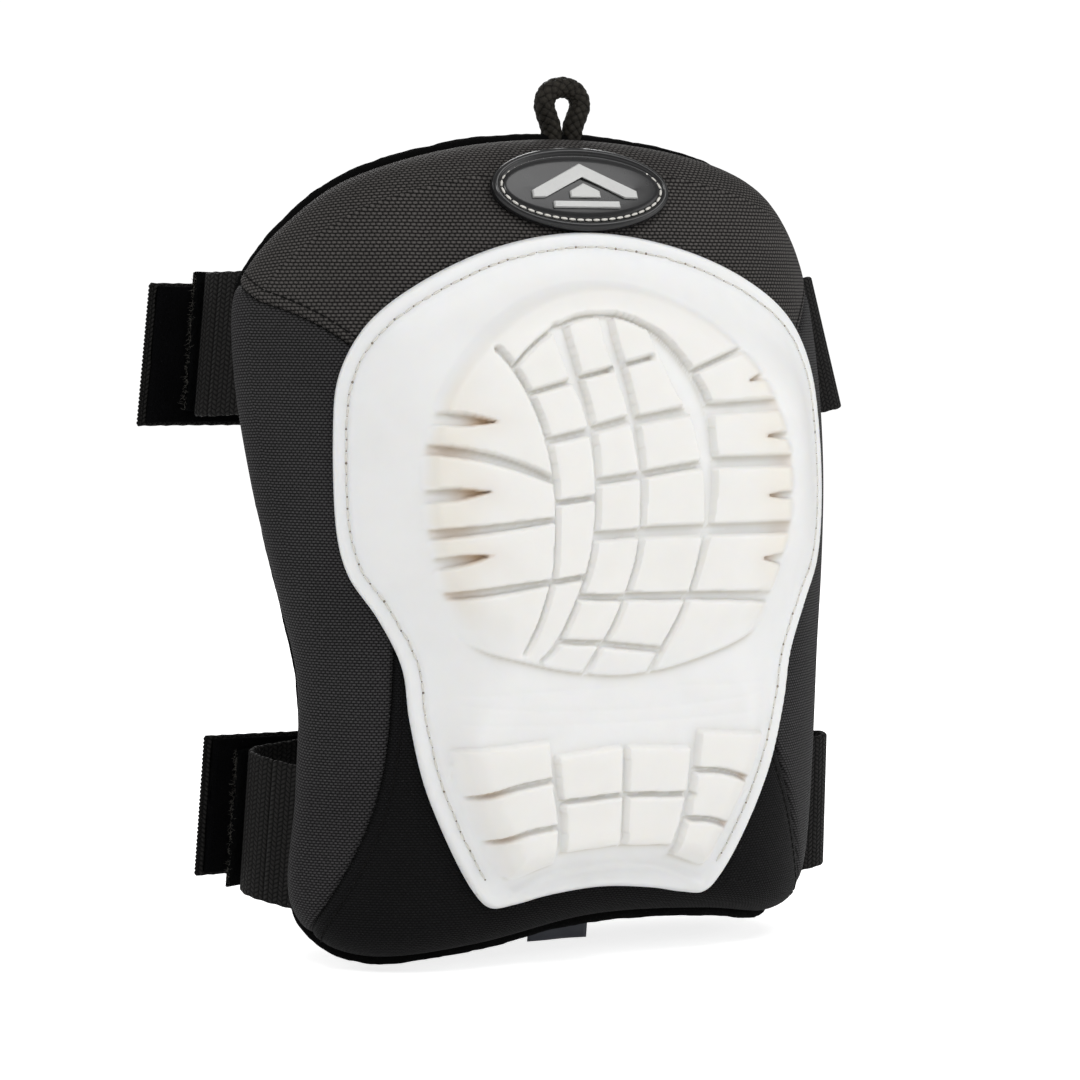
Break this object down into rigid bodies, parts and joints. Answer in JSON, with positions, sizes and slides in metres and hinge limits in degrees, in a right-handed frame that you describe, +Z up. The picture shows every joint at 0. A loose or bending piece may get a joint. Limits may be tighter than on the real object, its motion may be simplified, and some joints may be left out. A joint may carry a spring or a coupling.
{
  "type": "knee pad",
  "caption": "Wrap-round work knee pad: grooved rubber cap sewn on a padded fabric body, with two pairs of hook-and-loop webbing straps.",
  "frame": {"origin": "inner face of the liner at the middle of the knee", "axes": "+Z up the leg, -Y forward out of the cap, +X to the right as seen from the front"},
  "size_m": [0.2424, 0.1307, 0.2708],
  "materials": {
    "cap_rubber": "satin translucent white moulded rubber",
    "top_cloth": "charcoal brown ballistic weave",
    "side_cloth": "charcoal grey ballistic weave",
    "lower_cloth": "near-black fine weave",
    "foam": "closed-cell foam",
    "gel": "soft gel",
    "liner": "brushed neoprene-backed knit",
    "binding": "folded knit binding",
    "webbing": "ribbed elastic webbing",
    "hook_tape": "matt hook tape",
    "loop_tape": "napped loop tape",
    "badge_rubber": "glossy moulded rubber",
    "emblem": "light grey moulded rubber",
    "thread": "bonded off-white thread",
    "cord": "braided black cord",
    "label": "dark satin ribbon"
  },
  "bodies": {
    "pad": {"cap": "cap_rubber", "cap_thread": "thread", "top_panel": "top_cloth", "left_side_panel": "side_cloth", "right_side_panel": "side_cloth", "lower_panel": "lower_cloth", "foam_core": "foam", "gel_pad": "gel", "dome_insert": "foam", "back_liner": "liner", "edge_binding": "binding", "badge": "badge_rubber", "badge_thread": "thread", "badge_emblem": "emblem", "upper_left_root": "webbing", "upper_right_root": "webbing", "lower_left_root": "webbing", "lower_right_root": "webbing"},
    "upper_left": {"upper_left_strap": "webbing", "upper_loop_tape": "loop_tape"},
    "upper_right": {"upper_right_strap": "webbing"},
    "upper_end": {"upper_right_end": "webbing", "upper_hook_tape": "hook_tape"},
    "lower_left": {"lower_left_strap": "webbing", "lower_loop_tape": "loop_tape"},
    "lower_right": {"lower_right_strap": "webbing"},
    "lower_end": {"lower_right_end": "webbing", "lower_hook_tape": "hook_tape"},
    "cord_loop": {"hang_loop": "cord"},
    "label": {"care_label": "label"}
  },
  "joints": [
    {"name": "upper_right_open", "type": "hinge", "parent": "pad", "child": "upper_right", "pos_m": [0.10251, 0.05967, 0.04934], "axis": [0.1943, -0.136, -0.9715], "range_deg": [0, 85]},
    {"name": "upper_hook_peel", "type": "hinge", "parent": "upper_right", "child": "upper_end", "pos_m": [-0.012, 0.09743, 0.048], "axis": [-0.018, -0.0168, -0.9997], "range_deg": [0, 70]},
    {"name": "upper_left_open", "type": "hinge", "parent": "pad", "child": "upper_left", "pos_m": [-0.09329, 0.06086, 0.05274], "axis": [0.1469, 0.1371, 0.9796], "range_deg": [0, 42.5]},
    {"name": "lower_right_open", "type": "hinge", "parent": "pad", "child": "lower_right", "pos_m": [0.09267, 0.04145, -0.09982], "axis": [0.0495, 0.1385, -0.9891], "range_deg": [0, 85]},
    {"name": "lower_hook_peel", "type": "hinge", "parent": "lower_right", "child": "lower_end", "pos_m": [-0.012, 0.08439, -0.095], "axis": [-0.0039, 0.0183, -0.9998], "range_deg": [0, 70]},
    {"name": "lower_left_open", "type": "hinge", "parent": "pad", "child": "lower_left", "pos_m": [-0.0833, 0.0419, -0.09735], "axis": [0.0297, -0.1386, 0.9899], "range_deg": [0, 42.5]},
    {"name": "loop_tilt", "type": "hinge", "parent": "pad", "child": "cord_loop", "pos_m": [0.0055, 0.03096, 0.11997], "axis": [1, 0, 0], "range_deg": [-45, 45]},
    {"name": "label_swing", "type": "hinge", "parent": "pad", "child": "label", "pos_m": [-0.0046, 0.00926, -0.10821], "axis": [1, 0, 0], "range_deg": [0, 80]}
  ],
  "couplings": [
    {"joint": "upper_left_open", "follows": "upper_right_open", "ratio": 0.5},
    {"joint": "lower_left_open", "follows": "lower_right_open", "ratio": 0.5}
  ]
}
